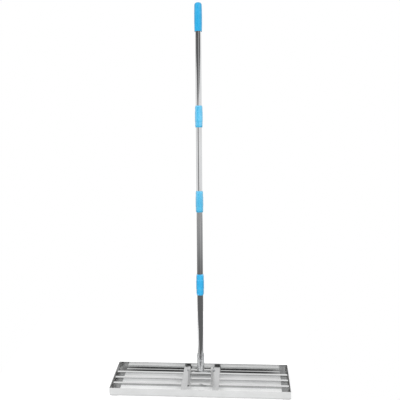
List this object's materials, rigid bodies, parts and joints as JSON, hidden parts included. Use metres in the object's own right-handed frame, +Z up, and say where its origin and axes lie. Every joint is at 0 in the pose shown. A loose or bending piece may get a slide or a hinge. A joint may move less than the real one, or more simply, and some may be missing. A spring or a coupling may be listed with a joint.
{
  "type": "lawn leveling rake",
  "caption": "Wide open stainless rake head of bent angles and slats on a long tilting screw-together pole, for spreading and leveling top dressing on a lawn.",
  "frame": {"origin": "on the ground under the middle of the head, on the underside of the middle slat", "axes": "+X along the head, +Y from the front of the head to the back, the way the pole leans, +Z up"},
  "size_m": [0.914, 0.467, 1.9158],
  "materials": {
    "polished_steel": "bright polished stainless steel",
    "satin_steel": "ground satin stainless steel",
    "fastener_steel": "plain steel fasteners",
    "nylon": "natural nylon",
    "blue_plastic": "semi-gloss moulded plastic"
  },
  "bodies": {
    "head": {"front_angle": "polished_steel", "rear_angle": "polished_steel", "left_end_angle": "polished_steel", "right_end_angle": "polished_steel", "front_slat": "polished_steel", "middle_slat": "polished_steel", "rear_slat": "polished_steel", "left_strap": "satin_steel", "right_strap": "satin_steel", "left_ear": "satin_steel", "right_ear": "satin_steel", "pivot_bolt": "fastener_steel", "pivot_nut": "fastener_steel", "pivot_washers": "fastener_steel"},
    "lower_handle": {"left_bush": "nylon", "right_bush": "nylon", "pivot_tube": "polished_steel", "pole_socket": "polished_steel", "socket_bolt": "fastener_steel", "socket_nut": "fastener_steel", "pole_tube_1": "polished_steel", "thread_insert_1": "nylon", "joint_sleeve_1": "blue_plastic"},
    "washer_1": {"joint_washer_1": "nylon"},
    "second_section": {"pole_tube_2": "polished_steel", "thread_stud_1": "fastener_steel", "thread_insert_2": "nylon", "joint_sleeve_2": "blue_plastic"},
    "washer_2": {"joint_washer_2": "nylon"},
    "third_section": {"pole_tube_3": "polished_steel", "thread_stud_2": "fastener_steel", "thread_insert_3": "nylon", "joint_sleeve_3": "blue_plastic"},
    "washer_3": {"joint_washer_3": "nylon"},
    "top_section": {"pole_tube_4": "polished_steel", "thread_stud_3": "fastener_steel", "hand_grip": "blue_plastic"}
  },
  "joints": [
    {"name": "handle_tilt", "type": "hinge", "parent": "head", "child": "lower_handle", "pos_m": [0, 0, 0.078], "axis": [1, 0, 0], "range_deg": [-80, 100]},
    {"name": "second_section_rise", "type": "slide", "parent": "lower_handle", "child": "washer_1", "axis": [0, 0.1736, 0.9848], "range_m": [0, 0.032]},
    {"name": "second_section_unscrew", "type": "hinge", "parent": "washer_1", "child": "second_section", "pos_m": [0, 0.07884, 0.5251], "axis": [0, 0.1736, 0.9848], "range_deg": [0, 2880]},
    {"name": "third_section_rise", "type": "slide", "parent": "second_section", "child": "washer_2", "axis": [0, 0.1736, 0.9848], "range_m": [0, 0.032]},
    {"name": "third_section_unscrew", "type": "hinge", "parent": "washer_2", "child": "third_section", "pos_m": [0, 0.15298, 0.94562], "axis": [0, 0.1736, 0.9848], "range_deg": [0, 2880]},
    {"name": "top_section_rise", "type": "slide", "parent": "third_section", "child": "washer_3", "axis": [0, 0.1736, 0.9848], "range_m": [0, 0.032]},
    {"name": "top_section_unscrew", "type": "hinge", "parent": "washer_3", "child": "top_section", "pos_m": [0, 0.22713, 1.36613], "axis": [0, 0.1736, 0.9848], "range_deg": [0, 2880]}
  ],
  "couplings": [
    {"joint": "second_section_unscrew", "follows": "second_section_rise", "rad_per_m": 1570.8},
    {"joint": "third_section_unscrew", "follows": "third_section_rise", "rad_per_m": 1570.8},
    {"joint": "top_section_unscrew", "follows": "top_section_rise", "rad_per_m": 1570.8}
  ]
}
